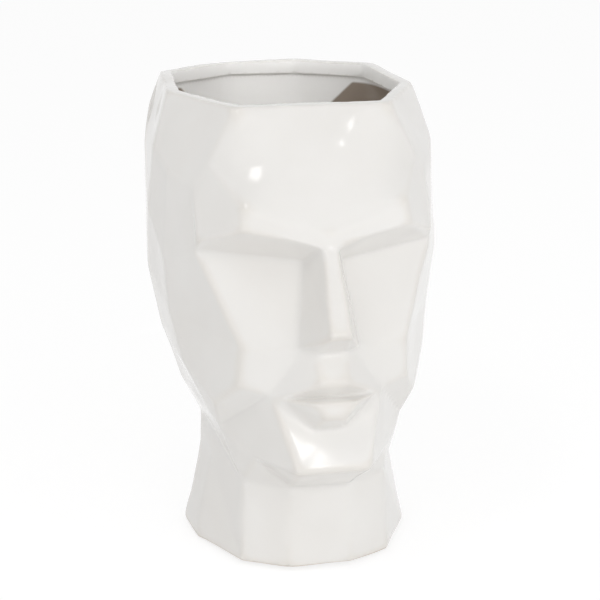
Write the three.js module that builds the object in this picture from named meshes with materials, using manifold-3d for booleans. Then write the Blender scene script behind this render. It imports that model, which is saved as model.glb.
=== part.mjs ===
// Faceted face planter: a slip-cast, glazed pot in the form of an eyeless head.
// A rubber stopper closes the drain hole and lifts out from inside, and four
// pads under the foot ring keep the glaze off the table.
// Millimetres, +Z up. The face looks along -Y, and the table is z = 0.

import * as THREE from 'three';
import Module from 'manifold-3d';
import { mergeVertices } from 'three/addons/utils/BufferGeometryUtils.js';

// Size of the whole pot
const HEIGHT = 303; // table to rim
const HALF_DEPTH = 133; // to the nose tip, and to the back of the head
const HALF_WIDTH = 96.5; // to the widest point of the side

// Levels of the face, as shares of the way from the foot up to the rim
const THROAT_SHARE = 0.185;
const CHIN_SHARE = 0.275; // lower edge of the chin
const MOUTH_SHARE = 0.421;
const NOSTRIL_SHARE = 0.524; // nose wings
const EYE_SHARE = 0.694; // inner corner of the eye plane
const BROW_SHARE = 0.757;
const TEMPLE_SHARE = 0.884;

// Walls of the pot
const WALL = 6;
const RIM_WALL = 8; // thicker lip round the mouth
const LIP_DEPTH = 9.5;
const RIDGE_HOLLOW = 3; // how far the inside follows a narrow ridge of the face
const FLOOR_THICKNESS = 8;
const FLOOR_FILLET = 9; // slope where the floor meets the wall
const RECESS_DEPTH = 2.5; // hollow under the base, inside the foot ring

// Drain hole and its stopper
const DRAIN_RADIUS = 8;
const STEM_CLEARANCE = 0.4; // round the stem in the hole
const SEAT_GAP = 0.3; // under the flange
const FLANGE_OVERLAP = 6; // flange past the hole's edge
const FLANGE_THICKNESS = 3;
const GRIP_RADIUS = 5;
const GRIP_WAIST = 1.2; // how far the grip narrows under its head
const GRIP_HEIGHT = 11;
const STEM_CHAMFER = 1.2;

// Foot pads
const PAD_RADIUS = 8;
const PAD_THICKNESS = 2;
const GLUE_LINE = 0.3; // between a pad and the foot ring
const PAD_MARGIN = 3; // foot ring left bare on each side of a pad
const PAD_EDGE = 0.5; // chamfer round a pad
const PAD_ANGLE = 45; // degrees from the side to the front or back pads

// Fineness of the round and hollow shapes
const ROUND_STEPS = 40;
const RING_STEPS = 48; // points round the inside of the pot
const RING_SPACING = 10; // height between the rings of the inside
const TOUCH = 0.01; // how close a ring point is brought to its wall
const CUT_PAST = 1; // how far a cut runs past the face it opens

// Levels from the table
const BASE = PAD_THICKNESS + GLUE_LINE;
const RIM = HEIGHT;
const THROAT = faceLevel(THROAT_SHARE);
const CHIN = faceLevel(CHIN_SHARE);
const MOUTH = faceLevel(MOUTH_SHARE);
const NOSTRIL = faceLevel(NOSTRIL_SHARE);
const EYE = faceLevel(EYE_SHARE);
const BROW = faceLevel(BROW_SHARE);
const TEMPLE = faceLevel(TEMPLE_SHARE);
const FLOOR = BASE + FLOOR_THICKNESS;
const RECESS = BASE + RECESS_DEPTH;
const LIP = RIM - LIP_DEPTH;

function faceLevel(share) {
  return BASE + share * (HEIGHT - BASE);
}

// Corners of the facets on the +X half of the head, as [across, depth, height].
// The other half mirrors them, and a name starting with ~ is the mirrored corner.
const CORNERS = {
  // Rim
  rimFront: [49.5, -49.5, RIM],
  rimSide: [82, 18, RIM],
  rimBackSide: [76, 101.5, RIM],
  rimBack: [26, HALF_DEPTH, RIM],
  crownEdge: [86.5, 83, RIM - 20],
  // Temple and forehead
  templeFront: [66, -49, TEMPLE],
  templeCorner: [75, -42.5, TEMPLE - 13],
  templeUnder: [87, -15, TEMPLE - 11],
  templeSide: [93, 10, TEMPLE + 1],
  templeBack: [93, 60, TEMPLE - 6],
  forehead: [0, -80, TEMPLE - 2],
  foreheadSide: [38, -70.5, TEMPLE - 1],
  foreheadEnd: [51, -86.5, BROW + 18],
  glabella: [0, -100.5, BROW + 4],
  // Brow and eye plane
  browInner: [4.5, -101.5, BROW - 5],
  browMid: [24, -96, BROW],
  browPeak: [52.5, -89, BROW + 5],
  browEnd: [76, -59, BROW - 8],
  eyeInner: [12, -78, EYE],
  eyeOuter: [76, -52, EYE + 4],
  // Nose
  noseTip: [6.5, -HALF_DEPTH, NOSTRIL + 18],
  noseWing: [19.5, -96, NOSTRIL],
  philtrum: [9.5, -104.5, NOSTRIL],
  // Cheek and side of the head
  cheekTop: [53, -84.5, NOSTRIL - 0.5],
  cheekLow: [54.5, -82.5, MOUTH + 5],
  sideHigh: [HALF_WIDTH, 18.5, BROW - 4],
  sideMid: [90.5, -14.5, EYE - 12.5],
  sideLow: [87.5, -10.5, NOSTRIL + 2.5],
  backSide: [95, 44, NOSTRIL + 21],
  // Mouth
  muzzleTop: [21.5, -95, NOSTRIL - 9],
  muzzleSide: [36.5, -89, MOUTH],
  mouthCorner: [31, -97, MOUTH],
  lipPeak: [8.5, -116, MOUTH + 14],
  lipLine: [0, -108, MOUTH + 3],
  lowerLip: [13, -117.5, MOUTH + 2.5],
  lipBottom: [6, -118.5, MOUTH - 7.5],
  underLip: [9.5, -102.5, MOUTH - 20],
  // Chin and jaw
  chinTop: [33.5, -95, MOUTH - 5],
  chinEnd: [23, -116, CHIN],
  jawNear: [42.5, -78, CHIN - 2],
  jawMid: [52.5, -58.5, CHIN - 0.5],
  jawLow: [61, -42, CHIN + 8],
  jawSide: [66, -57.5, MOUTH - 14.5],
  jawEnd: [67, -37, CHIN + 17],
  jawBack: [81, -24, MOUTH + 2.5],
  backMid: [87, 38, MOUTH + 9.5],
  backJaw: [75, 33.5, CHIN + 17],
  // Back of the head
  crownSide: [81, 104, TEMPLE - 14],
  crownBack: [30, HALF_DEPTH, TEMPLE - 20],
  occiputSide: [79, 92, NOSTRIL + 21],
  occiputBack: [29, 119, NOSTRIL + 15],
  napeSide: [57, 72, CHIN + 20],
  napeBack: [22, 92.5, CHIN + 21],
  // Neck, from under the jaw to the foot
  collarSide: [60, -10, CHIN - 4],
  collarBackSide: [64, 20, CHIN - 3],
  collarNape: [46, 55, CHIN - 1],
  collarBack: [17.5, 69, CHIN - 1],
  throat: [19, -73.5, THROAT],
  throatSide: [47.5, -55, THROAT],
  neckSide: [61.5, -11, THROAT],
  neckBackSide: [64.5, 20, THROAT],
  neckNape: [47, 54, THROAT],
  neckBack: [18, 68.5, THROAT],
  footFront: [21, -75, BASE],
  footFrontSide: [50, -59, BASE],
  footSide: [72.5, -14, BASE],
  footBackSide: [77, 20, BASE],
  footNape: [51, 58, BASE],
  footBack: [21, 75, BASE],
};

// Facets of the +X half, each corner by corner against the clock seen from outside
const SIDE_FACETS = [
  // Temple and side of the head
  'rimFront templeFront templeUnder templeSide rimSide',
  'templeFront templeCorner templeUnder',
  'rimSide templeSide templeBack crownEdge rimBackSide',
  'templeSide sideHigh templeBack',
  'templeSide templeUnder sideMid sideHigh',
  'templeUnder templeCorner eyeOuter sideMid',
  'templeCorner browEnd eyeOuter',
  'eyeOuter cheekTop sideLow sideMid',
  'cheekTop cheekLow jawSide jawBack sideLow',
  'jawSide jawEnd jawBack',
  'templeBack sideHigh backSide',
  'sideHigh sideMid sideLow backSide',
  'sideLow jawBack backMid backSide',
  'jawBack jawEnd backJaw backMid',
  // Forehead and brow
  'forehead glabella foreheadEnd',
  'forehead foreheadEnd foreheadSide',
  'foreheadSide foreheadEnd templeFront',
  'foreheadSide templeFront rimFront',
  'forehead foreheadSide rimFront',
  'templeFront foreheadEnd browEnd templeCorner',
  'foreheadEnd browPeak browEnd',
  'glabella browInner browMid browPeak foreheadEnd',
  'browMid eyeInner eyeOuter browPeak',
  'browInner eyeInner browMid',
  'browPeak eyeOuter browEnd',
  // Eye plane, nose and cheek
  'eyeOuter eyeInner noseWing cheekTop',
  'browInner noseTip noseWing eyeInner',
  'noseTip philtrum noseWing',
  'cheekTop noseWing muzzleTop muzzleSide cheekLow',
  'noseWing philtrum muzzleTop',
  // Mouth and chin
  'muzzleTop philtrum lipPeak mouthCorner muzzleSide',
  'lipPeak lipLine mouthCorner',
  'lipLine lowerLip mouthCorner',
  'lowerLip lipBottom mouthCorner',
  'mouthCorner lipBottom underLip',
  'mouthCorner underLip chinTop',
  'chinTop underLip chinEnd',
  'muzzleSide mouthCorner chinTop',
  // Jaw and its underside
  'cheekLow muzzleSide jawLow jawSide',
  'muzzleSide chinTop chinEnd jawNear jawMid jawLow',
  'jawSide jawLow jawEnd',
  'jawMid jawNear throatSide',
  'jawNear throat throatSide',
  'jawNear chinEnd throat',
  'jawLow jawMid throatSide',
  'jawLow throatSide collarSide',
  'jawEnd jawLow collarSide',
  'backJaw jawEnd collarSide collarBackSide',
  // Neck
  'collarSide throatSide neckSide',
  'collarSide neckSide neckBackSide collarBackSide',
  'collarBackSide neckBackSide neckNape collarNape',
  'collarNape neckNape neckBack collarBack',
  'throat footFront footFrontSide throatSide',
  'throatSide footFrontSide footSide neckSide',
  'neckSide footSide footBackSide neckBackSide',
  'neckBackSide footBackSide footNape neckNape',
  'neckNape footNape footBack neckBack',
  // Back of the head
  'rimBackSide crownEdge crownSide',
  'crownEdge templeBack crownSide',
  'rimBackSide crownSide crownBack rimBack',
  'templeBack backSide occiputSide crownSide',
  'crownSide occiputSide occiputBack crownBack',
  'backSide backMid occiputSide',
  'backMid backJaw napeSide occiputSide',
  'occiputSide napeSide napeBack occiputBack',
  'backJaw collarBackSide collarNape napeSide',
  'napeSide collarNape collarBack napeBack',
];

// Facets that cross the middle of the head
const MIDDLE_FACETS = [
  'forehead rimFront ~rimFront',
  'glabella ~browInner browInner',
  '~browInner ~noseTip noseTip browInner',
  '~noseTip ~philtrum philtrum noseTip',
  '~philtrum ~lipPeak lipPeak philtrum',
  '~lipPeak lipLine lipPeak',
  'lipLine ~lowerLip lowerLip',
  '~lowerLip ~lipBottom lipBottom lowerLip',
  '~lipBottom ~underLip underLip lipBottom',
  '~underLip ~chinEnd chinEnd underLip',
  'chinEnd ~chinEnd ~throat throat',
  '~throat ~footFront footFront throat',
  'neckBack footBack ~footBack ~neckBack',
  'collarBack neckBack ~neckBack ~collarBack',
  'napeBack collarBack ~collarBack ~napeBack',
  'occiputBack napeBack ~napeBack ~occiputBack',
  'crownBack occiputBack ~occiputBack ~crownBack',
  'rimBack crownBack ~crownBack ~rimBack',
];

// Outlines of the flat rim and of the flat foot, from the front round one side
const RIM_HALF = ['rimFront', 'rimSide', 'rimBackSide', 'rimBack'];
const FOOT_HALF = ['footFront', 'footFrontSide', 'footSide', 'footBackSide', 'footNape', 'footBack'];

const wasm = await Module();
wasm.setup();

// Corners and facets

function mirrored(name) {
  if (name.startsWith('~')) {
    return name.slice(1);
  }
  return CORNERS[name][0] === 0 ? name : `~${name}`;
}

function cornerPoint(name) {
  const [across, depth, height] = CORNERS[name.replace('~', '')];
  return new THREE.Vector3(name.startsWith('~') ? -across : across, depth, height);
}

function fullLoop(half) {
  return [...half, ...half.map(mirrored).reverse()];
}

// All facets of the skin, without the flat rim and foot
function skinFacets() {
  const right = SIDE_FACETS.map((facet) => facet.split(' '));
  const left = right.map((facet) => facet.map(mirrored).reverse());
  const middle = MIDDLE_FACETS.map((facet) => facet.split(' '));
  return [...right, ...left, ...middle];
}

// A facet is a fan of triangles from its first corner
function fan(facet) {
  return facet.slice(2).map((name, i) => [facet[0], facet[i + 1], name]);
}

// Solids for joining and cutting

function toSolid(geometry) {
  const bare = geometry.clone();
  bare.deleteAttribute('normal');
  bare.deleteAttribute('uv');
  const merged = mergeVertices(bare);
  const vertProperties = new Float32Array(merged.attributes.position.array);
  const triVerts = new Uint32Array(merged.index.array);
  return new wasm.Manifold(new wasm.Mesh({ numProp: 3, vertProperties, triVerts }));
}

function toGeometry(solid) {
  const { vertProperties, triVerts } = solid.getMesh();
  const geometry = new THREE.BufferGeometry();
  geometry.setAttribute('position', new THREE.BufferAttribute(vertProperties, 3));
  geometry.setIndex(new THREE.BufferAttribute(triVerts, 1));
  geometry.computeVertexNormals();
  return geometry;
}

function meshOfPoints(points, triangles) {
  const geometry = new THREE.BufferGeometry().setFromPoints(points);
  geometry.setIndex(triangles.flat());
  return geometry;
}

// Upright round cutter between two heights, on the middle of the base
function roundCutter(radius, from, to) {
  const cutter = new THREE.CylinderGeometry(radius, radius, to - from, ROUND_STEPS);
  cutter.rotateX(Math.PI / 2);
  cutter.translate(0, 0, (from + to) / 2);
  return toSolid(cutter);
}

// Head: the faceted skin closed by the flat rim and foot

function headSolid() {
  const facets = [...skinFacets(), fullLoop(RIM_HALF), fullLoop(FOOT_HALF).reverse()];
  const names = [...new Set(facets.flat())];
  const number = new Map(names.map((name, i) => [name, i]));
  const triangles = facets.flatMap(fan).map((corners) => corners.map((name) => number.get(name)));
  return toSolid(meshOfPoints(names.map(cornerPoint), triangles));
}

// Mouth: the rim's outline moved in by the rim's wall, each corner where two moved edges meet

function insetLoop(half, inset) {
  const loop = fullLoop(half).map(cornerPoint);
  return loop.map((corner, i) => {
    const before = corner.clone().sub(loop.at(i - 1)).normalize();
    const after = loop[(i + 1) % loop.length].clone().sub(corner).normalize();
    const bend = before.x * after.y - before.y * after.x;
    const slide = after.clone().sub(before).multiplyScalar(inset / bend);
    return new THREE.Vector2(corner.x + slide.x, corner.y + slide.y);
  });
}

function mouthCutter() {
  const outline = new THREE.Shape(insetLoop(RIM_HALF, RIM_WALL));
  const depth = LIP_DEPTH + 2 * CUT_PAST;
  const cutter = new THREE.ExtrudeGeometry(outline, { depth, bevelEnabled: false });
  cutter.translate(0, 0, LIP - CUT_PAST);
  return toSolid(cutter);
}

// Inside: rings of points round a spine, each as far out as leaves the wall its thickness

function skinTriangles() {
  return skinFacets().flatMap(fan).map((corners) => new THREE.Triangle(...corners.map(cornerPoint)));
}

function distanceToSkin(point, skin) {
  const nearest = new THREE.Vector3();
  let least = Infinity;
  for (const triangle of skin) {
    triangle.closestPointToPoint(point, nearest);
    least = Math.min(least, nearest.distanceToSquared(point));
  }
  return Math.sqrt(least);
}

// The spine is upright in the neck, then leans back to the middle of the rim
function spinePoint(height) {
  const rimMiddle = (CORNERS.rimFront[1] + CORNERS.rimBack[1]) / 2;
  const lean = Math.max(0, (height - THROAT) / (RIM - THROAT));
  return new THREE.Vector3(0, rimMiddle * lean, height);
}

function ringPoint(height, step, reach) {
  const angle = ((step + 0.5) / RING_STEPS) * 2 * Math.PI;
  const outward = new THREE.Vector3(Math.sin(angle), -Math.cos(angle), 0);
  return spinePoint(height).addScaledVector(outward, reach);
}

function ringReach(height, step, skin) {
  let reach = 0;
  let room = Infinity;
  while (room > TOUCH) {
    room = distanceToSkin(ringPoint(height, step, reach), skin) - WALL;
    reach += Math.max(room, 0);
  }
  return reach;
}

// No point goes much further out than its neighbours, so a narrow ridge such as the nose stays solid
function insideRing(height, skin) {
  const reaches = Array.from({ length: RING_STEPS }, (_, step) => ringReach(height, step, skin));
  return reaches.map((reach, step) => {
    const beside = Math.min(reaches.at(step - 1), reaches[(step + 1) % RING_STEPS]);
    return ringPoint(height, step, Math.min(reach, beside + RIDGE_HOLLOW));
  });
}

function insideCutter() {
  const skin = skinTriangles();
  const straight = LIP - FLOOR - FLOOR_FILLET;
  const bands = Math.ceil(straight / RING_SPACING);
  const heights = Array.from({ length: bands + 1 }, (_, i) => FLOOR + FLOOR_FILLET + (straight * i) / bands);
  const rings = heights.map((height) => insideRing(height, skin));
  const floorRing = rings[0].map((point) => {
    const reach = Math.hypot(point.x, point.y);
    const share = (reach - FLOOR_FILLET) / reach;
    return new THREE.Vector3(point.x * share, point.y * share, FLOOR);
  });
  const layers = [floorRing, ...rings];
  const points = [...layers.flat(), spinePoint(FLOOR), spinePoint(LIP)];
  const floorMiddle = points.length - 2;
  const topMiddle = points.length - 1;
  const topRing = (layers.length - 1) * RING_STEPS;
  const triangles = [];
  for (let step = 0; step < RING_STEPS; step += 1) {
    const next = (step + 1) % RING_STEPS;
    triangles.push([floorMiddle, next, step]);
    triangles.push([topMiddle, topRing + step, topRing + next]);
    for (let layer = 0; layer < layers.length - 1; layer += 1) {
      const low = layer * RING_STEPS;
      const high = low + RING_STEPS;
      triangles.push([low + step, low + next, high + next]);
      triangles.push([low + step, high + next, high + step]);
    }
  }
  return toSolid(meshOfPoints(points, triangles));
}

// Foot: the pads sit on a ring inside the foot's outline, and the middle is recessed

// Distance from the middle of the base to the nearest edge of the foot
function footReach() {
  const loop = fullLoop(FOOT_HALF).map(cornerPoint);
  const reaches = loop.map((corner, i) => {
    const next = loop[(i + 1) % loop.length];
    const edge = Math.hypot(next.x - corner.x, next.y - corner.y);
    return Math.abs(corner.x * next.y - corner.y * next.x) / edge;
  });
  return Math.min(...reaches);
}

const PAD_CIRCLE = footReach() - PAD_MARGIN - PAD_RADIUS;
const RECESS_RADIUS = PAD_CIRCLE - PAD_RADIUS - PAD_MARGIN;

// Sub-parts

function planterBody() {
  const solid = headSolid()
    .subtract(insideCutter())
    .subtract(mouthCutter())
    .subtract(roundCutter(RECESS_RADIUS, BASE - CUT_PAST, RECESS))
    .subtract(roundCutter(DRAIN_RADIUS, BASE, FLOOR + CUT_PAST));
  const glaze = new THREE.MeshStandardMaterial({
    color: 0xefece7, roughness: 0.12, metalness: 0, flatShading: true,
  });
  const mesh = new THREE.Mesh(toGeometry(solid), glaze);
  mesh.name = 'planter_body';
  return mesh;
}

// Turned profile about the upright axis, from [radius, height] pairs
function turned(profile) {
  const geometry = new THREE.LatheGeometry(profile.map(([r, z]) => new THREE.Vector2(r, z)), ROUND_STEPS);
  geometry.rotateX(Math.PI / 2);
  return geometry;
}

function drainPlug() {
  const stem = DRAIN_RADIUS - STEM_CLEARANCE;
  const flange = DRAIN_RADIUS + FLANGE_OVERLAP;
  const seat = FLOOR + SEAT_GAP;
  const flangeTop = seat + FLANGE_THICKNESS;
  const gripTop = flangeTop + GRIP_HEIGHT;
  const waist = GRIP_RADIUS - GRIP_WAIST;
  const geometry = turned([
    [0, RECESS],
    [stem - STEM_CHAMFER, RECESS],
    [stem, RECESS + STEM_CHAMFER],
    [stem, seat],
    [flange, seat],
    [flange, flangeTop - FLANGE_THICKNESS / 2],
    [flange - FLANGE_THICKNESS / 2, flangeTop],
    [waist, flangeTop],
    [waist, flangeTop + GRIP_HEIGHT / 2],
    [GRIP_RADIUS, gripTop - GRIP_HEIGHT / 4],
    [GRIP_RADIUS - GRIP_WAIST, gripTop],
    [0, gripTop],
  ]);
  const rubber = new THREE.MeshStandardMaterial({ color: 0x3b3a3a, roughness: 0.75, metalness: 0 });
  const mesh = new THREE.Mesh(geometry, rubber);
  mesh.name = 'drain_plug';
  return mesh;
}

function footPad(name, angle) {
  const geometry = turned([
    [0, 0],
    [PAD_RADIUS - PAD_EDGE, 0],
    [PAD_RADIUS, PAD_EDGE],
    [PAD_RADIUS, PAD_THICKNESS],
    [0, PAD_THICKNESS],
  ]);
  const felt = new THREE.MeshStandardMaterial({ color: 0x4a4743, roughness: 0.95, metalness: 0 });
  const mesh = new THREE.Mesh(geometry, felt);
  mesh.name = name;
  mesh.position.set(PAD_CIRCLE * Math.cos(angle), PAD_CIRCLE * Math.sin(angle), 0);
  return mesh;
}

function footPads() {
  const tilt = THREE.MathUtils.degToRad(PAD_ANGLE);
  return [
    footPad('foot_pad_front_left', Math.PI + tilt),
    footPad('foot_pad_front_right', -tilt),
    footPad('foot_pad_back_left', Math.PI - tilt),
    footPad('foot_pad_back_right', tilt),
  ];
}

const planter = new THREE.Group();
planter.add(planterBody(), drainPlug(), ...footPads());

export default planter;
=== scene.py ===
# %% [markdown]
# # A faceted face planter
# The object is a white glazed pot cast in the form of an eyeless head, cut into flat facets as if
# with a knife. A rubber stopper closes the drain hole inside, and felt pads stand under the foot.
# The solids were made first, so this lesson starts from them: they give every size and place, and
# the script adds what a real pot has on top of its plain shape, and painted light and shade inside it.

# %% Load the solids
import math

import bpy
import numpy as np
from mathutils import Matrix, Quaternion, Vector


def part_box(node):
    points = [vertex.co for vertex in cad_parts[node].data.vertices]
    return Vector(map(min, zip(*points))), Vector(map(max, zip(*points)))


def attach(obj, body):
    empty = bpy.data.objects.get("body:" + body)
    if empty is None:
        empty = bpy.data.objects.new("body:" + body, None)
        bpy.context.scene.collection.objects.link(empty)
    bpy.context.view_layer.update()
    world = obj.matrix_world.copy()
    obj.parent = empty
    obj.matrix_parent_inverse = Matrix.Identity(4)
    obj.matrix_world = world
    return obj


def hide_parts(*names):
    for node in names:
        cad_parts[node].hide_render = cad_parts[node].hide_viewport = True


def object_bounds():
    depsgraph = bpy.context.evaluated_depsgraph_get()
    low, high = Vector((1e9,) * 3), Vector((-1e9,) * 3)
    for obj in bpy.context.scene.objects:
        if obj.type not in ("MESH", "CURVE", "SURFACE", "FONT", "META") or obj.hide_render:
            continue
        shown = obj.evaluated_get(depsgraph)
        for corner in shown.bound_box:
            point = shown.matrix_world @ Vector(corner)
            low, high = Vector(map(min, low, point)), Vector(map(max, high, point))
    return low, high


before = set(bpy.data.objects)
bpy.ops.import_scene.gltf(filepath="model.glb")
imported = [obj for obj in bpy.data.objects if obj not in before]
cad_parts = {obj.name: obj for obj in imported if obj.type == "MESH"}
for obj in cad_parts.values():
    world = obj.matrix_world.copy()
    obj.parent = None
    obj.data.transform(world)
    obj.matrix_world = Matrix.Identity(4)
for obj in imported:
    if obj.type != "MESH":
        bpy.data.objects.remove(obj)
CAD_LOW, CAD_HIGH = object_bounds()
print("solids:", sorted(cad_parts))
print("box in mm:", [round(1000 * v) for v in (*CAD_LOW, *CAD_HIGH)])

# %% [markdown]
# ## Camera
# The pot was photographed from a little to its right and from above the eyes, with a long lens.
# A camera could be dragged into place by hand. Here it is put on a sphere round a target point, so
# that its angle, height and distance can each be changed alone.

# %% Camera
CAMERA_TARGET = Vector((0.0044, 0.011, 0.1583))
CAMERA_AZIMUTH = math.radians(-11.8)
CAMERA_ELEVATION = math.radians(17.04)
CAMERA_DISTANCE = 1.1504
CAMERA_LENS = 101.9


def direction(azimuth, elevation):
    """Unit vector: azimuth turns from the front (-Y) towards +X, elevation rises from level."""
    flat = math.cos(elevation)
    return Vector((math.sin(azimuth) * flat, -math.cos(azimuth) * flat, math.sin(elevation)))


def aim(thing, spot, target, roll=0.0):
    """Puts a camera or lamp at a spot, turns its -Z to the target and rolls it about that line."""
    thing.location = spot
    turn = (target - spot).to_track_quat("-Z", "Y") @ Quaternion((0.0, 0.0, 1.0), roll)
    thing.rotation_euler = turn.to_euler()
    bpy.context.scene.collection.objects.link(thing)


camera = bpy.data.objects.new("camera", bpy.data.cameras.new("camera"))
camera.data.lens = CAMERA_LENS
camera_spot = CAMERA_TARGET + CAMERA_DISTANCE * direction(CAMERA_AZIMUTH, CAMERA_ELEVATION)
aim(camera, camera_spot, CAMERA_TARGET)
bpy.context.scene.camera = camera
print("camera at", [round(v, 3) for v in camera.location])

# %% [markdown]
# ## The cast body
# On the real pot the facets meet in soft edges, because the slip rounds off in the mould and the
# glaze flows over it. A Bevel modifier would give each edge one width, but it folds over itself at
# the mouth, where facets are only a few millimetres across. So the solid's own triangles are taken,
# cut smaller, and then let spread towards their neighbours like a drop of glaze does. The first step
# is to read them as arrays and to tell the faces of the hollow from the outside, because the two are
# finished differently.

# %% Read the solid
NECK_TOP = 0.058
RIM_TOP = CAD_HIGH.z
RIM_MIDDLE = 0.040
FACING_IN = -0.3
NO_AREA = 1e-12
JOIN_DIGITS = 6


def read(items, name, width=3):
    """One property of all vertices or faces of a mesh as an array."""
    values = np.empty(len(items) * width, dtype=np.int32 if name == "vertices" else np.float64)
    items.foreach_get(name, values)
    return values.reshape(-1, width)


def solid_arrays(mesh):
    """Points and triangles of a solid, with its loose triangles joined where corners coincide."""
    corners = read(mesh.vertices, "co")
    rounded = np.round(corners, JOIN_DIGITS)
    _, first, joined = np.unique(rounded, axis=0, return_index=True, return_inverse=True)
    return corners[first], joined.reshape(-1)[read(mesh.polygons, "vertices")]


def unit_normals(points, triangles):
    """Cross product of two sides of each triangle, brought to length 1."""
    a, b, c = (points[triangles[:, i]] for i in range(3))
    normal = np.cross(b - a, c - a)
    return normal / np.maximum(np.linalg.norm(normal, axis=1, keepdims=True), NO_AREA)


def spine(height):
    """Middle line of the hollow: upright in the neck, then leaning back to the middle of the rim."""
    lean = np.clip((height - NECK_TOP) / (RIM_TOP - NECK_TOP), 0.0, 1.0)
    return np.stack([np.zeros_like(height), RIM_MIDDLE * lean], axis=1)


def faces_inside(points, triangles):
    """True for a face of the hollow: the cosine from the way out to its normal is well below 0."""
    normal = unit_normals(points, triangles)
    middle = points[triangles].sum(axis=1) / 3.0
    outward = middle[:, :2] - spine(middle[:, 2])
    facing = np.sum(outward * normal[:, :2], axis=1) / np.linalg.norm(outward, axis=1)
    return facing < FACING_IN


body_points, body_faces = solid_arrays(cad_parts["planter_body"].data)
face_inside = faces_inside(body_points, body_faces)
print("triangles of the solid:", len(body_faces), "and inside:", int(face_inside.sum()))

# %% [markdown]
# ## Edges
# Only the edges where two facets meet at an angle get rounded, so they are where small triangles are
# needed. An edge is found by the sum of the normals on its two sides: it has length 2 when they
# agree, and gets shorter as the edge bends. The limit is wider inside, where less is seen.

# %% Find the bent edges
OUTSIDE_BEND = math.radians(5.0)
INSIDE_BEND = math.radians(30.0)
BOTH_SIDES = 1.5


def edges_of(triangles, count):
    """Edges as pairs of points, and for each triangle the numbers of its three edges."""
    sides = triangles[:, [[0, 1], [1, 2], [2, 0]]]
    keys = sides.min(axis=2).astype(np.int64) * count + sides.max(axis=2)
    found, which = np.unique(keys, return_inverse=True)
    return np.stack([found // count, found % count], axis=1), which.reshape(-1, 3)


def bent_edges(points, triangles, inside, pairs, which):
    """True where faces meet at more than the limit: two unit normals add up to 2 cos(angle / 2)."""
    normal = unit_normals(points, triangles)
    edge = which.ravel()
    sums = [np.bincount(edge, np.repeat(normal[:, i], 3), len(pairs)) for i in range(3)]
    within = np.bincount(edge, np.repeat(inside, 3), len(pairs)) > BOTH_SIDES
    limit = np.where(within, INSIDE_BEND, OUTSIDE_BEND)
    return np.linalg.norm(np.stack(sums, axis=1), axis=1) < 2.0 * np.cos(limit / 2.0)


solid_pairs, solid_edges = edges_of(body_faces, len(body_points))
bent = bent_edges(body_points, body_faces, face_inside, solid_pairs, solid_edges)
print("bent edges:", int(bent.sum()), "of", len(bent))

# %% [markdown]
# ## Small triangles
# Each edge that is too long is cut in the middle, again and again. Cutting in the middle leaves every
# point on its flat facet, so all edges stay straight. Near the bent edges the limit is under three
# millimetres and elsewhere over six, which saves more than half of the triangles.

# %% Cut the facets
FINE_EDGE = 0.0028
COARSE_EDGE = 0.0065
MOST_HALVINGS = 14


def edge_lengths(points, pairs):
    """Distance between the two ends of each edge."""
    return np.linalg.norm(points[pairs[:, 0]] - points[pairs[:, 1]], axis=1)


def edge_limits(points, triangles, inside, pairs, which):
    """Longest allowed edge: short within one ring of points round a bent edge, else long."""
    near = np.zeros(len(points), dtype=bool)
    near[pairs[bent_edges(points, triangles, inside, pairs, which)]] = True
    near[pairs[near[pairs].any(axis=1)]] = True
    return np.where(near[pairs].any(axis=1), FINE_EDGE, COARSE_EDGE)


def turned_to(rows, first):
    """Each row of three rolled round so that it starts at its own first place."""
    return np.take_along_axis(rows, (first[:, None] + np.arange(3)) % 3, axis=1)


def halve(points, triangles, inside):
    """Cuts each edge over its limit in the middle, and each triangle into 2, 3 or 4 to fit its cuts."""
    pairs, which = edges_of(triangles, len(points))
    limits = edge_limits(points, triangles, inside, pairs, which)
    too_long = edge_lengths(points, pairs) > limits
    number = np.full(len(pairs), -1)
    number[too_long] = len(points) + np.arange(too_long.sum())
    points = np.vstack([points, points[pairs[too_long]].mean(axis=1)])
    cut = number[which]
    whole, one, two, three = (np.flatnonzero((cut >= 0).sum(axis=1) == i) for i in range(4))
    first = np.argmax(cut[one] >= 0, axis=1)
    a, b, c = turned_to(triangles[one], first).T
    m = turned_to(cut[one], first)[:, 0]
    new = [triangles[whole], np.stack([a, m, c], 1), np.stack([m, b, c], 1)]
    first = np.argmin(cut[two] >= 0, axis=1) + 1
    a, b, c = turned_to(triangles[two], first).T
    m, n, _ = turned_to(cut[two], first).T
    new += [np.stack([m, b, n], 1), np.stack([a, m, n], 1), np.stack([a, n, c], 1)]
    a, b, c = triangles[three].T
    m, n, o = cut[three].T
    new += [np.stack([a, m, o], 1), np.stack([m, b, n], 1)]
    new += [np.stack([o, n, c], 1), np.stack([m, n, o], 1)]
    parents = np.concatenate([whole, one, one, two, two, two, three, three, three, three])
    return points, np.vstack(new), inside[parents], bool(too_long.any())


for _ in range(MOST_HALVINGS):
    body_points, body_faces, face_inside, cutting = halve(body_points, body_faces, face_inside)
    if not cutting:
        break
body_pairs, _ = edges_of(body_faces, len(body_points))
print("body triangles:", len(body_faces))

# %% [markdown]
# ## Soft edges
# Each step moves a point part of the way to the middle of its neighbours. This is the heat equation
# on a surface, and its one number is how far it spreads. Where the triangles are large the middle is
# further off, so the part is made smaller by the square of their size, and the edges come out equally
# round all over.

# %% Let the edges spread
EDGE_SPREAD = 0.0022
LARGEST_PART = 0.6
COUNTED_SHARE = 0.999


def neighbour_sum(values, pairs, count):
    """Sum over each point's neighbours, from the list of edges read both ways."""
    first, second = pairs.T
    columns = []
    for column in values.T:
        there = np.bincount(first, weights=column[second], minlength=count)
        back = np.bincount(second, weights=column[first], minlength=count)
        columns.append(there + back)
    return np.stack(columns, axis=1)


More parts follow.
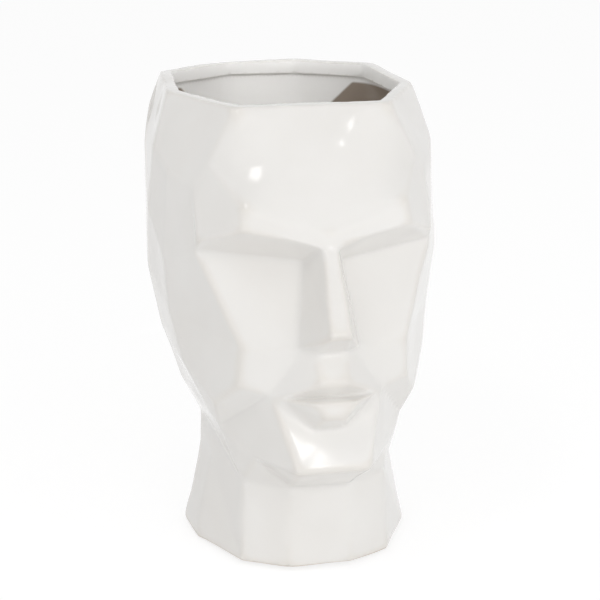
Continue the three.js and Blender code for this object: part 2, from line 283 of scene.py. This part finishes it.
def neighbours(points, pairs):
    """How many neighbours each point has, and how far off they are on average."""
    ends = pairs.ravel()
    degree = np.bincount(ends, minlength=len(points))
    total = np.bincount(ends, np.repeat(edge_lengths(points, pairs), 2), len(points))
    return degree, total / degree


def spread(points, pairs, lengths):
    """Heat equation: n steps, each 2 s^2 / (n h^2) of the way to the mean of the neighbours."""
    degree, spacing = neighbours(points, pairs)
    whole = 2.0 * (lengths / spacing) ** 2
    steps = int(np.ceil(np.quantile(whole, COUNTED_SHARE) / LARGEST_PART))
    part = np.minimum(whole / steps, LARGEST_PART)[:, None]
    near = pairs[(part[pairs[:, 0], 0] > 0.0) | (part[pairs[:, 1], 0] > 0.0)]
    for _ in range(steps):
        mean = neighbour_sum(points, near, len(points)) / degree[:, None]
        points = np.where(part > 0.0, points + part * (mean - points), points)
    print("spread in", steps, "steps")
    return points


soft_points = spread(body_points, body_pairs, np.full(len(body_points), EDGE_SPREAD))

# %% [markdown]
# ## Softer places
# The forehead of the real pot has no edges inside its outline, so it spreads further there. The neck
# is a little softer than the face, and so is the inside, which a mould doesn't touch. The outline of
# the forehead could be painted by hand as a weight. Here it is a few corners seen from the front, and
# a smooth step makes the change gradual.

# %% Let the forehead, neck and hollow spread further
INSIDE_SPREAD = 0.0030
FOREHEAD_SPREAD = 0.0140
NECK_SPREAD = 0.0030
NECK_FADE_IN = (0.012, 0.022)
NECK_FADE_OUT = (0.045, 0.060)
FOREHEAD_FADE = (0.002, 0.012)
FOREHEAD_BACK = -0.045
SHIELD = [(-0.0495, 0.303), (-0.066, 0.268), (-0.051, 0.248), (0.0, 0.234)]
SHIELD += [(0.051, 0.248), (0.066, 0.268), (0.0495, 0.303)]


def fade(value, start, end):
    """Smooth step: 0 before start, 1 after end."""
    share = np.clip((value - start) / (end - start), 0.0, 1.0)
    return share * share * (3.0 - 2.0 * share)


def shield_depth(across, height):
    """How far inside the outline of the forehead a point is, seen from the front: least over its sides."""
    corners = np.array(SHIELD)
    depth = np.full(len(across), np.inf)
    for start, end in zip(corners, np.roll(corners, -1, axis=0)):
        along = (end - start) / np.linalg.norm(end - start)
        depth = np.minimum(depth, along[0] * (height - start[1]) - along[1] * (across - start[0]))
    return depth


def wall_lengths(points, inside):
    """How much further the surface spreads on the neck and on the inside."""
    height = points[:, 2]
    neck = (1.0 - fade(height, *NECK_FADE_OUT)) * fade(height, *NECK_FADE_IN)
    return np.where(inside, INSIDE_SPREAD, NECK_SPREAD * neck)


def forehead_lengths(points, inside):
    """How much further the surface spreads inside the outline of the forehead."""
    across, depth, height = points.T
    share = fade(shield_depth(across, height), *FOREHEAD_FADE)
    return FOREHEAD_SPREAD * share * (depth < FOREHEAD_BACK) * ~inside


corner_inside = np.zeros(len(body_points), dtype=bool)
corner_inside[body_faces[face_inside]] = True
corner_inside[body_faces[~face_inside]] = False
soft_points = spread(soft_points, body_pairs, wall_lengths(body_points, corner_inside))
soft_points = spread(soft_points, body_pairs, forehead_lengths(body_points, corner_inside))
moved = np.linalg.norm(soft_points - body_points, axis=1)
print("largest move in mm:", round(1000 * moved.max(), 2))

# %% [markdown]
# ## A hand-finished surface
# Glaze never lies dead flat. Slow waves of about a fifth of a millimetre bend the reflections, so that
# the highlights come out as blobs and not as clean squares. A bump in the material could fake that,
# but the waves are large enough to be real shape. They are a sum of sine waves in many directions.

# %% Waves in the glaze, and the finished body
WAVE_HEIGHT = 0.00018
WAVE_LENGTH = 0.040
WAVE_COUNT = 24
WAVE_SEED = 17
WAVE_RANGE = (0.67, 1.5)


def waves(points, height, length, count, seed):
    """Sum of sines with random directions and phases, lengths within a half of the given one."""
    draw = np.random.default_rng(seed)
    heading = draw.normal(size=(count, 3))
    heading /= np.linalg.norm(heading, axis=1, keepdims=True)
    turns = 2.0 * math.pi / (length * draw.uniform(*WAVE_RANGE, count))
    phase = draw.uniform(0.0, 2.0 * math.pi, count)
    total = np.sin(points @ (heading * turns[:, None]).T + phase).sum(axis=1)
    return height * total / math.sqrt(count / 2.0)


def new_piece(name, points, faces):
    """Smooth-shaded object at the origin from points and faces."""
    mesh = bpy.data.meshes.new(name)
    mesh.from_pydata(points.tolist(), [], faces)
    mesh.polygons.foreach_set("use_smooth", np.ones(len(mesh.polygons), dtype=bool))
    mesh.update()
    piece = bpy.data.objects.new(name, mesh)
    bpy.context.scene.collection.objects.link(piece)
    return piece


head = new_piece("glazed_head", soft_points, body_faces.tolist())
soft_normals = read(head.data.vertices, "normal")
swell = waves(soft_points, WAVE_HEIGHT, WAVE_LENGTH, WAVE_COUNT, WAVE_SEED)
head.data.vertices.foreach_set("co", (soft_points + swell[:, None] * soft_normals).ravel())
head.data.update()
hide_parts("planter_body")
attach(head, "pot")
print("wave range in mm:", round(1000 * swell.min(), 2), round(1000 * swell.max(), 2))

# %% [markdown]
# ## Thick and thin glaze
# While it melts, glaze draws back from sharp edges and gathers in the hollows. The measure is how
# bent the surface is: the distance from a point to the middle of its neighbours, along the normal.
# It is kept on the mesh as an attribute, where a material can read it, and so is whether a point is
# inside the pot, where the colour holds painted light and painted shade.

# %% Measure where glaze gathers
GATHER_SCALE = 0.06
GATHER_ROUNDS = 6


def gathering(points, pairs, normals):
    """Bend of the surface, spread a little: above 0 in hollows, below 0 on edges, within -1 to 1."""
    count = len(points)
    degree, spacing = neighbours(points, pairs)
    mean = neighbour_sum(points, pairs, count) / degree[:, None]
    bend = (np.sum((mean - points) * normals, axis=1) / spacing)[:, None]
    for _ in range(GATHER_ROUNDS):
        bend = 0.5 * bend + 0.5 * neighbour_sum(bend, pairs, count) / degree[:, None]
    return np.clip(bend[:, 0] / GATHER_SCALE, -1.0, 1.0)


def keep_on_mesh(name, values):
    """Stores one number for each point of the body as a named attribute."""
    layer = head.data.attributes.new(name, "FLOAT", "POINT")
    layer.data.foreach_set("value", values.astype(np.float32))


gather = gathering(soft_points, body_pairs, soft_normals)
keep_on_mesh("glaze_gather", gather)
keep_on_mesh("hollow", corner_inside)
print("glaze gathers between", round(gather.min(), 2), "and", round(gather.max(), 2))

# %% [markdown]
# ## Building materials from nodes
# A material is a net of nodes. It could be wired by hand in the shader editor. A few small helpers
# make the same net in code: one adds a node, the others are the usual steps of mixing two colours,
# stretching a range and doing arithmetic.

# %% Material helpers


def new_material(name):
    """Material, its node tree and its shader."""
    material = bpy.data.materials.new(name)
    material.use_nodes = True
    tree = material.node_tree
    return material, tree, tree.nodes["Principled BSDF"]


def feed(tree, socket, value):
    """Links a socket to an input, or sets the input to a plain value."""
    if isinstance(value, bpy.types.NodeSocket):
        tree.links.new(value, socket)
    else:
        socket.default_value = value


def add_node(tree, kind, settings=None, **inputs):
    """New node: settings are its own properties, inputs are values or sockets to link."""
    node = tree.nodes.new(kind)
    for name, value in (settings or {}).items():
        setattr(node, name, value)
    for name, value in inputs.items():
        feed(tree, node.inputs[name.replace("_", " ")], value)
    return node


def noise(tree, place, scale, detail):
    """Cloudy pattern between 0 and 1 with so many patches in a metre."""
    return add_node(tree, "ShaderNodeTexNoise", Vector=place, Scale=scale, Detail=detail).outputs["Fac"]


def blend_colour(tree, factor, first, second):
    """Mix of two colours, each a value or a socket."""
    mix = add_node(tree, "ShaderNodeMix", {"data_type": "RGBA"})
    feed(tree, mix.inputs[0], factor)
    feed(tree, mix.inputs[6], first)
    feed(tree, mix.inputs[7], second)
    return mix.outputs[2]


def remap(tree, value, source, target):
    """Straight line from one range to another, held at its ends."""
    node = add_node(tree, "ShaderNodeMapRange", {"clamp": True}, Value=value)
    ends = ("From Min", "From Max", "To Min", "To Max")
    for name, end in zip(ends, (*source, *target)):
        feed(tree, node.inputs[name], end)
    return node.outputs["Result"]


def calculate(tree, operation, *values):
    """One step of arithmetic on values or sockets."""
    node = add_node(tree, "ShaderNodeMath", {"operation": operation})
    for socket, value in zip(node.inputs, values):
        feed(tree, socket, value)
    return node.outputs["Value"]


def bump(tree, shader, height, strength, distance):
    """Fine relief: a pattern tilts the normals as if it had a depth."""
    relief = add_node(tree, "ShaderNodeBump", Strength=strength, Distance=distance, Height=height)
    tree.links.new(relief.outputs["Normal"], shader.inputs["Normal"])


FULL = (0.0, 1.0)
NONE = (1.0, 0.0)
print("material helpers ready")

# %% [markdown]
# ## Glaze
# The glaze is a glossy warm white. One shader does it: a pale colour under a smooth surface. The
# colour shifts a little over the pot, is a touch warmer where the glaze is thin on an edge, and the
# foot ring is left bare, since glaze there would stick the pot to the kiln shelf. The finest
# ripples, too small for the mesh, are a bump.

# %% Glaze outside
GLAZE_COLOUR = (0.835, 0.815, 0.785, 1.0)
GLAZE_COLOUR_DEEP = (0.86, 0.845, 0.82, 1.0)
GLAZE_COLOUR_THIN = (0.80, 0.765, 0.715, 1.0)
BARE_CLAY = (0.70, 0.62, 0.53, 1.0)
CLOUD_SCALE = 14.0
CLOUD_RANGE = (0.35, 0.65)
THIN_RANGE = (-0.3, -1.0)
THIN_SHARE = (0.0, 0.6)
FOOT_EDGE = (0.0029, 0.0037)
SHINE_RANGE = (0.3, 0.7)
SHINE = (0.07, 0.12)
BARE_ROUGHNESS = 0.75
RIPPLE_SCALE = 420.0
RIPPLE_STRENGTH = 0.10
RIPPLE_DEPTH = 0.0002
GLAZE_IOR = 1.5

glaze, tree, shader = new_material("warm_white_glaze")
place = add_node(tree, "ShaderNodeTexCoord").outputs["Object"]
parts = add_node(tree, "ShaderNodeSeparateXYZ", Vector=place)
across, level = parts.outputs["X"], parts.outputs["Z"]
cloud = noise(tree, place, CLOUD_SCALE, 3.0)
pool = add_node(tree, "ShaderNodeAttribute", {"attribute_name": "glaze_gather"}).outputs["Fac"]
cloudy = blend_colour(tree, remap(tree, cloud, CLOUD_RANGE, FULL), GLAZE_COLOUR, GLAZE_COLOUR_DEEP)
edged = blend_colour(tree, remap(tree, pool, THIN_RANGE, THIN_SHARE), cloudy, GLAZE_COLOUR_THIN)
bare = remap(tree, level, FOOT_EDGE, NONE)
rough = add_node(tree, "ShaderNodeMix", {"data_type": "FLOAT"})
feed(tree, rough.inputs[0], bare)
feed(tree, rough.inputs[2], remap(tree, cloud, SHINE_RANGE, SHINE))
feed(tree, rough.inputs[3], BARE_ROUGHNESS)
tree.links.new(rough.outputs[0], shader.inputs["Roughness"])
bump(tree, shader, noise(tree, place, RIPPLE_SCALE, 2.0), RIPPLE_STRENGTH, RIPPLE_DEPTH)
shader.inputs["IOR"].default_value = GLAZE_IOR
head.data.materials.append(glaze)
print("glaze on", head.name)

# %% [markdown]
# ## Glaze inside
# The inside of such a pot is glazed by pouring, and here its colour is painted lighter, as painted
# light for the hollow. A dark brown patch behind one temple, under the lip, is painted shade, and it is
# given to the other side too. A patch lies past a slanting line on the wall, under the lip and over a
# level, and a slow noise lets its edges wander. Patches could be separate meshes, but as colour they
# follow the wall at no cost.

# %% Inside glaze painted lighter, and painted shade under the lip
# Painted light: the inside glaze colour is lighter than the outside one, to brighten the hollow.
GLAZE_INSIDE_LIGHTENED = (0.95, 0.94, 0.92, 1.0)
# Painted shade: the dark brown laid on the inner side walls under the lip.
PAINTED_SHADE_BROWN = (0.33, 0.27, 0.22, 1.0)
LINE_REACH = 0.0678
LINE_LEVEL = 0.296
LINE_SLOPE = 0.81
LINE_FOOT = LINE_REACH - LINE_SLOPE * LINE_LEVEL
LINE_EDGE = (-0.0006, 0.0012)
LINE_WANDER = 0.003
DRIFT_SCALE = 45.0
PATCH_TOP = (0.2885, 0.2900)
PATCH_FOOT = (0.252, 0.255)

hollow = add_node(tree, "ShaderNodeAttribute", {"attribute_name": "hollow"}).outputs["Fac"]
drift = noise(tree, place, DRIFT_SCALE, 2.0)
line = calculate(tree, "MULTIPLY_ADD", level, LINE_SLOPE, LINE_FOOT)
past = calculate(tree, "SUBTRACT", calculate(tree, "ABSOLUTE", across), line)
wander = calculate(tree, "MULTIPLY_ADD", drift, LINE_WANDER, past)
aside = calculate(tree, "MULTIPLY", hollow, remap(tree, wander, LINE_EDGE, FULL))
under = calculate(tree, "MULTIPLY", aside, remap(tree, level, PATCH_TOP, NONE))
sunk = calculate(tree, "MULTIPLY_ADD", drift, LINE_WANDER, level)
# Painted shade: the share of dark brown past the slanting line, under the lip and above a level.
painted_shade_share = calculate(tree, "MULTIPLY", under, remap(tree, sunk, PATCH_FOOT, FULL))
# Painted light: points inside the pot take the lighter inside colour.
lightened_inside = blend_colour(tree, hollow, edged, GLAZE_INSIDE_LIGHTENED)
footed = blend_colour(tree, bare, lightened_inside, BARE_CLAY)
tree.links.new(blend_colour(tree, painted_shade_share, footed, PAINTED_SHADE_BROWN), shader.inputs["Base Color"])
# The patches printed here are painted shade.
print("bare patches from", PATCH_FOOT[0], "to", PATCH_TOP[1], "m up")

# %% [markdown]
# ## Turned shapes
# The stopper and the pads are round, so an outline is carried about the upright axis like work on a
# lathe. Blender's Screw modifier does that too, but with arrays the radius can also change with the
# angle, as it does on felt. The outline's corners are rounded first, each with a small arc.

# %% Helpers for turned pieces
AXIS_RADIUS = 0.0001
ARC_STEPS = 6
MOST_SET_BACK = 0.45


def rounded_outline(corners, radius):
    """Each inner corner becomes a curve: a quadratic arc between points set back along its sides."""
    corners = np.asarray(corners, dtype=float)
    middle = corners[1:-1]
    to_last = corners[:-2] - middle
    to_next = corners[2:] - middle
    last_length = np.linalg.norm(to_last, axis=1, keepdims=True)
    next_length = np.linalg.norm(to_next, axis=1, keepdims=True)
    back = np.minimum(radius, MOST_SET_BACK * np.minimum(last_length, next_length))
    start = middle + to_last / last_length * back
    end = middle + to_next / next_length * back
    share = np.linspace(0.0, 1.0, ARC_STEPS)[None, :, None]
    arcs = (1 - share) ** 2 * start[:, None] + 2 * share * (1 - share) * middle[:, None]
    arcs = arcs + share**2 * end[:, None]
    return np.vstack([corners[:1], arcs.reshape(-1, 2), corners[-1:]])


def finely(outline, spacing):
    """Outline with points about one spacing apart along its length."""
    step = np.linalg.norm(np.diff(outline, axis=0), axis=1)
    length = np.concatenate([[0.0], np.cumsum(step)])
    stops = np.linspace(0.0, length[-1], int(length[-1] / spacing) + 1)
    return np.stack([np.interp(stops, length, outline[:, i]) for i in range(2)], axis=1)


def turned(name, radius, height, centre=(0.0, 0.0)):
    """Closed turned piece: ring i has radius[i, :] over the angles at height[i, :], poles at both ends."""
    rings, steps = radius.shape
    angle = np.linspace(0.0, 2.0 * math.pi, steps, endpoint=False)
    ring_x = centre[0] + radius * np.cos(angle)
    ring_y = centre[1] + radius * np.sin(angle)
    ring_points = np.stack([ring_x, ring_y, height], axis=2).reshape(-1, 3)
    poles = [[*centre, height[0].mean()], [*centre, height[-1].mean()]]
    points = np.vstack([ring_points, poles])
    row = np.arange(rings - 1)[:, None] * steps
    here = np.arange(steps)
    beside = (here + 1) % steps
    quads = np.stack([row + here, row + beside, row + steps + beside, row + steps + here], axis=2)
    first, last = rings * steps, rings * steps + 1
    low_fan = np.stack([np.full(steps, first), beside, here], axis=1)
    top = (rings - 1) * steps
    top_fan = np.stack([np.full(steps, last), top + here, top + beside], axis=1)
    faces = quads.reshape(-1, 4).tolist() + low_fan.tolist() + top_fan.tolist()
    return new_piece(name, points, faces)


print("turning helpers ready")

# %% [markdown]
# ## Drain stopper
# The stopper is a moulded rubber plug: a ribbed stem in the hole, a flange on the floor of the pot
# and a grip to pull it out by. Its outline runs from the middle of the underside up to the middle of
# the grip. The ribs are a sine wave on the radius of the stem.

# %% Stopper
TURN_STEPS = 96
STEM = 0.0075
SEAT = 0.0106
FLANGE_TOP = 0.0136
GRIP = 0.0050
WAIST = 0.0037
PLUG_ROUND = 0.0008
PLUG_SPACING = 0.00025
RIB_HEIGHT = 0.00022
RIB_PITCH = 0.0016
RIB_START = (0.0010, 0.0018)
RIB_END = SEAT - 0.0006

plug_low, plug_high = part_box("drain_plug")
plug_foot, plug_top = plug_low.z, plug_high.z
flange = (plug_high.x - plug_low.x) / 2
plug_corners = [
    (AXIS_RADIUS, plug_foot + 0.0008),
    (0.0045, plug_foot),
    (STEM - 0.0008, plug_foot),
    (STEM, plug_foot + 0.0012),
    (STEM, SEAT),
    (flange - 0.0004, SEAT),
    (flange, SEAT + 0.0009),
    (flange - 0.0008, FLANGE_TOP - 0.0009),
    (flange - 0.0030, FLANGE_TOP - 0.0003),
    (WAIST + 0.0016, FLANGE_TOP),
    (WAIST, FLANGE_TOP + 0.0016),
    (WAIST, FLANGE_TOP + 0.0050),
    (GRIP, plug_top - 0.0040),
    (GRIP, plug_top - 0.0012),
    (GRIP - 0.0014, plug_top),
    (0.0016, plug_top - 0.0004),
    (AXIS_RADIUS, plug_top - 0.0007),
]
plug_outline = finely(rounded_outline(plug_corners, PLUG_ROUND), PLUG_SPACING)
plug_radius, plug_height = plug_outline.T
on_stem = fade(plug_height - plug_foot, *RIB_START) * (plug_height < RIB_END)
on_stem = on_stem * (plug_radius > STEM - AXIS_RADIUS)
ribs = RIB_HEIGHT * np.sin(plug_height / RIB_PITCH * 2.0 * math.pi) * on_stem
rings = np.repeat((plug_radius + ribs)[:, None], TURN_STEPS, axis=1)
heights = np.repeat(plug_height[:, None], TURN_STEPS, axis=1)
stopper = turned("drain_stopper", rings, heights)
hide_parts("drain_plug")
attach(stopper, "stopper")
print("stopper faces:", len(stopper.data.polygons))

# %% [markdown]
# ## Rubber
# Moulded rubber is nearly black and matte, with a faint bloom of grey dust and a fine grain from the
# mould. Two noises do it: a slow one for the bloom and a fine one for the grain.

# %% Rubber material
RUBBER_COLOUR = (0.020, 0.0195, 0.019, 1.0)
RUBBER_DUSTY = (0.045, 0.044, 0.042, 1.0)
BLOOM_SCALE = 180.0
BLOOM_RANGE = (0.35, 0.75)
RUBBER_ROUGH_RANGE = (0.3, 0.7)
RUBBER_ROUGHNESS = (0.5, 0.7)
GRAIN_SCALE = 2400.0
GRAIN_STRENGTH = 0.25
GRAIN_DEPTH = 0.0001

rubber, tree, shader = new_material("moulded_rubber")
place = add_node(tree, "ShaderNodeTexCoord").outputs["Object"]
bloom = noise(tree, place, BLOOM_SCALE, 4.0)
dusty = blend_colour(tree, remap(tree, bloom, BLOOM_RANGE, FULL), RUBBER_COLOUR, RUBBER_DUSTY)
tree.links.new(dusty, shader.inputs["Base Color"])
dull = remap(tree, bloom, RUBBER_ROUGH_RANGE, RUBBER_ROUGHNESS)
tree.links.new(dull, shader.inputs["Roughness"])
bump(tree, shader, noise(tree, place, GRAIN_SCALE, 2.0), GRAIN_STRENGTH, GRAIN_DEPTH)
stopper.data.materials.append(rubber)
print("rubber on", stopper.name)

# %% [markdown]
# ## Felt pads
# The pads are punched from pressed felt. They are turned too, but a punch leaves the rim of felt
# slightly ragged and the faces lumpy, so radius and height vary with the angle by a few sine waves.
# Each pad reaches a little into the foot ring, as the glue does.

# %% Pads
PAD_STEPS = 120
PAD_GLUE = 0.00025
PAD_MARGIN = 0.0002
PAD_BEVEL = 0.0008
PAD_WEAR = 0.0007
PAD_ROUND = 0.0006
PAD_SPACING = 0.0003
PAD_SEED = 20
RAGGED = dict(height=0.00012, length=0.0022, count=30)
LUMPY = dict(height=0.00004, length=0.0025, count=20)


def felt_pad(node, seed):
    """Disc with a worn lower edge: the outline turned, then rubbed by random waves."""
    low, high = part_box(node)
    centre = ((low.x + high.x) / 2, (low.y + high.y) / 2)
    reach = (high.x - low.x) / 2 - PAD_MARGIN
    top = high.z + PAD_GLUE
    corners = [(AXIS_RADIUS, low.z), (reach - PAD_BEVEL, low.z), (reach, low.z + PAD_WEAR)]
    corners += [(reach, top), (AXIS_RADIUS, top)]
    outline = finely(rounded_outline(corners, PAD_ROUND), PAD_SPACING)
    angle = np.linspace(0.0, 2.0 * math.pi, PAD_STEPS, endpoint=False)
    radius = np.repeat(outline[:, :1], PAD_STEPS, axis=1)
    height = np.repeat(outline[:, 1:], PAD_STEPS, axis=1)
    spots = np.stack([radius * np.cos(angle), radius * np.sin(angle), height], axis=2).reshape(-1, 3)
    fuzz = waves(spots, seed=seed, **RAGGED).reshape(radius.shape)
    radius = radius + fuzz * fade(radius, 0.5 * reach, reach)
    radius = np.clip(radius, AXIS_RADIUS, reach + PAD_MARGIN)
    lumps = waves(spots, seed=seed + 1, **LUMPY).reshape(radius.shape)
    height = np.clip(height + lumps, low.z, top)
    pad = turned("felt_" + node, radius, height, centre)
    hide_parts(node)
    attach(pad, "pot")
    return pad


pads = []
for number, node in enumerate(sorted(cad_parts)):
    if "pad" in node:
        pads.append(felt_pad(node, PAD_SEED + 2 * number))
print("pads:", [pad.name for pad in pads])

# %% [markdown]
# ## Felt
# Pressed felt is a mat of fibres: stretched noise in two directions gives light and dark strands, and
# the same strands are its bump.

# %% Felt material
FELT_COLOUR = (0.050, 0.047, 0.042, 1.0)
FELT_LIGHT = (0.095, 0.089, 0.080, 1.0)
FIBRE_TURNS = (0.4, 1.9)
FIBRE_TILT = (0.3, 0.2)
FIBRE_STRETCH = (1.0, 7.0, 7.0)
FIBRE_SCALE = 420.0
FIBRE_RANGE = (0.4, 0.7)
FELT_ROUGHNESS = (0.98, 0.88)
FELT_STRENGTH = 0.6
FELT_DEPTH = 0.0002

felt, tree, shader = new_material("pressed_felt")
place = add_node(tree, "ShaderNodeTexCoord").outputs["Object"]
strands = []
for turn in FIBRE_TURNS:
    lay = add_node(
        tree, "ShaderNodeMapping", Vector=place, Rotation=(*FIBRE_TILT, turn), Scale=FIBRE_STRETCH
    )
    strands.append(noise(tree, lay.outputs["Vector"], FIBRE_SCALE, 3.0))
weave = calculate(tree, "MAXIMUM", *strands)
shade = blend_colour(tree, remap(tree, weave, FIBRE_RANGE, FULL), FELT_COLOUR, FELT_LIGHT)
tree.links.new(shade, shader.inputs["Base Color"])
matte = remap(tree, weave, FIBRE_RANGE, FELT_ROUGHNESS)
tree.links.new(matte, shader.inputs["Roughness"])
bump(tree, shader, weave, FELT_STRENGTH, FELT_DEPTH)
for pad in pads:
    pad.data.materials.append(felt)
print("felt on", len(pads), "pads")

# %% [markdown]
# ## Floor
# The photograph has a plain white ground. The floor is a pale square that the camera and reflections
# see as nearly white, with the pot's soft shadow left on it. To all other rays it is plain white
# paper, so it throws a natural amount of light up at the pot. Making the lamps stronger would also
# whiten the floor, but it would burn out the pot.

# %% Floor
FLOOR_REACH = 6.0
FLOOR_GLOW = 0.78
FLOOR_SHADOW_SHARE = 0.30
FLOOR_COLOUR = 0.92


def seen_share(tree):
    """1 for rays of the camera and of reflections, 0 for rays that light other things."""
    path = add_node(tree, "ShaderNodeLightPath").outputs
    straight = calculate(tree, "MAXIMUM", path["Is Camera Ray"], path["Is Glossy Ray"])
    return calculate(tree, "MAXIMUM", straight, path["Is Transmission Ray"])


def grey(value):
    """Colour with the same red, green and blue."""
    return (value, value, value, 1.0)


def choose_by_ray(tree, lighting, seen):
    """Shader for rays that light other things, and another one for what is seen."""
    chosen = add_node(tree, "ShaderNodeMixShader", Fac=seen_share(tree))
    tree.links.new(lighting, chosen.inputs[1])
    tree.links.new(seen, chosen.inputs[2])
    return chosen.outputs["Shader"]


floor_mesh = bpy.data.meshes.new("floor")
floor_corners = [(x * FLOOR_REACH, y * FLOOR_REACH, 0.0) for x, y in ((-1, -1), (1, -1), (1, 1), (-1, 1))]
floor_mesh.from_pydata(floor_corners, [], [(0, 1, 2, 3)])
floor = bpy.data.objects.new("floor", floor_mesh)
bpy.context.scene.collection.objects.link(floor)
paper = bpy.data.materials.new("white_paper")
paper.use_nodes = True
tree = paper.node_tree
tree.nodes.clear()
plain = add_node(tree, "ShaderNodeBsdfDiffuse", Color=grey(FLOOR_COLOUR)).outputs["BSDF"]
faint = add_node(tree, "ShaderNodeBsdfDiffuse", Color=grey(FLOOR_SHADOW_SHARE)).outputs["BSDF"]
glow = add_node(tree, "ShaderNodeEmission", Strength=FLOOR_GLOW).outputs["Emission"]
bright = add_node(tree, "ShaderNodeAddShader")
tree.links.new(glow, bright.inputs[0])
tree.links.new(faint, bright.inputs[1])
add_node(
    tree, "ShaderNodeOutputMaterial", Surface=choose_by_ray(tree, plain, bright.outputs["Shader"])
)
floor_mesh.materials.append(paper)
print("floor", 2 * FLOOR_REACH, "m wide")

# %% [markdown]
# ## Lamps
# Three large soft lamps stand in front, as windows would, and shade the facets. Glaze mirrors them
# strongly where it is seen at a slant, which would burn out the outline in a view from behind, so
# they are kept out of reflections. Three small ones are there for their reflections, which are the
# glints on the chin and the forehead: a glint moves with its lamp, and a rolled lamp gives a slanting
# one. A narrow spot shines into the mouth, because the inside of a white pot is nearly as light as
# its outside.

# %% Lamps
LAMPS = {
    "front": dict(azimuth=8.0, elevation=8.0, distance=3.0, size=(1.4, 1.0), watts=13.5),
    "front_left": dict(azimuth=-22.0, elevation=12.0, distance=3.0, size=(2.4, 2.4), watts=8.0),
    "front_right": dict(azimuth=40.0, elevation=28.0, distance=3.0, size=(2.0, 1.4), watts=6.6),
    "chin_glint": dict(
        azimuth=10.5, elevation=24.9, distance=1.6, size=(0.30, 0.07), watts=0.50, roll=-75.0
    ),
    "forehead_glint": dict(
        azimuth=32.6, elevation=58.6, distance=1.6, size=(0.08, 0.05), watts=0.12, roll=-40.0
    ),
    "crown_glint": dict(
        azimuth=-50.8, elevation=59.4, distance=1.6, size=(0.51, 0.225), watts=2.0, roll=-60.0
    ),
}
SOFT_LAMPS = ("front", "front_left", "front_right")
MOUTH_TARGET = Vector((0.0, 0.112, 0.245))
MOUTH_ELEVATION = math.radians(45.0)
MOUTH_DISTANCE = 1.6
MOUTH_CONE = math.radians(5.4)
MOUTH_BULB = 0.02
MOUTH_WATTS = 31.0


def add_lamp(name, azimuth, elevation, distance, size, watts, roll=0.0):
    """Rectangular lamp on a sphere round the middle of the pot, facing it."""
    light = bpy.data.lights.new(name, "AREA")
    light.shape = "RECTANGLE"
    light.size, light.size_y = size
    light.energy = watts
    middle = (CAD_LOW + CAD_HIGH) / 2
    spot = middle + distance * direction(math.radians(azimuth), math.radians(elevation))
    aim(bpy.data.objects.new(name, light), spot, middle, math.radians(roll))


for name, lamp_values in LAMPS.items():
    add_lamp(name, **lamp_values)
for name in SOFT_LAMPS:
    bpy.data.objects[name].visible_glossy = False
mouth_light = bpy.data.lights.new("into_mouth", "SPOT")
mouth_light.energy = MOUTH_WATTS
mouth_light.spot_size = MOUTH_CONE
mouth_light.spot_blend = 1.0
mouth_light.shadow_soft_size = MOUTH_BULB
mouth_spot = MOUTH_TARGET + MOUTH_DISTANCE * direction(0.0, MOUTH_ELEVATION)
aim(bpy.data.objects.new("into_mouth", mouth_light), mouth_spot, MOUTH_TARGET)
print("lamps:", [*LAMPS, "into_mouth"])

# %% [markdown]
# ## Room
# A pale room fills the shadows. It is a little dimmer overhead, so that facets that look up don't
# all turn white. An image of a real room would give livelier reflections, but also ones that are
# not on this pot, so the room is plain, and the camera and reflections see it as white.

# %% Room
ROOM_LIGHT = 0.76
CEILING_LIGHT = 0.54
WHITE_ROOM = 1.0

world = bpy.data.worlds.new("pale_room")
world.use_nodes = True
tree = world.node_tree
tree.nodes.clear()
sky = add_node(tree, "ShaderNodeTexCoord").outputs["Generated"]
up = add_node(tree, "ShaderNodeSeparateXYZ", Vector=sky).outputs["Z"]
dim = remap(tree, up, FULL, (ROOM_LIGHT, CEILING_LIGHT))
fill = add_node(tree, "ShaderNodeBackground", Color=grey(1.0), Strength=dim).outputs["Background"]
backdrop = add_node(tree, "ShaderNodeBackground", Color=grey(1.0), Strength=WHITE_ROOM)
add_node(
    tree, "ShaderNodeOutputWorld", Surface=choose_by_ray(tree, fill, backdrop.outputs["Background"])
)
bpy.context.scene.world = world
bpy.context.scene.view_settings.view_transform = "Standard"
print("room light", ROOM_LIGHT, "level and", CEILING_LIGHT, "overhead")
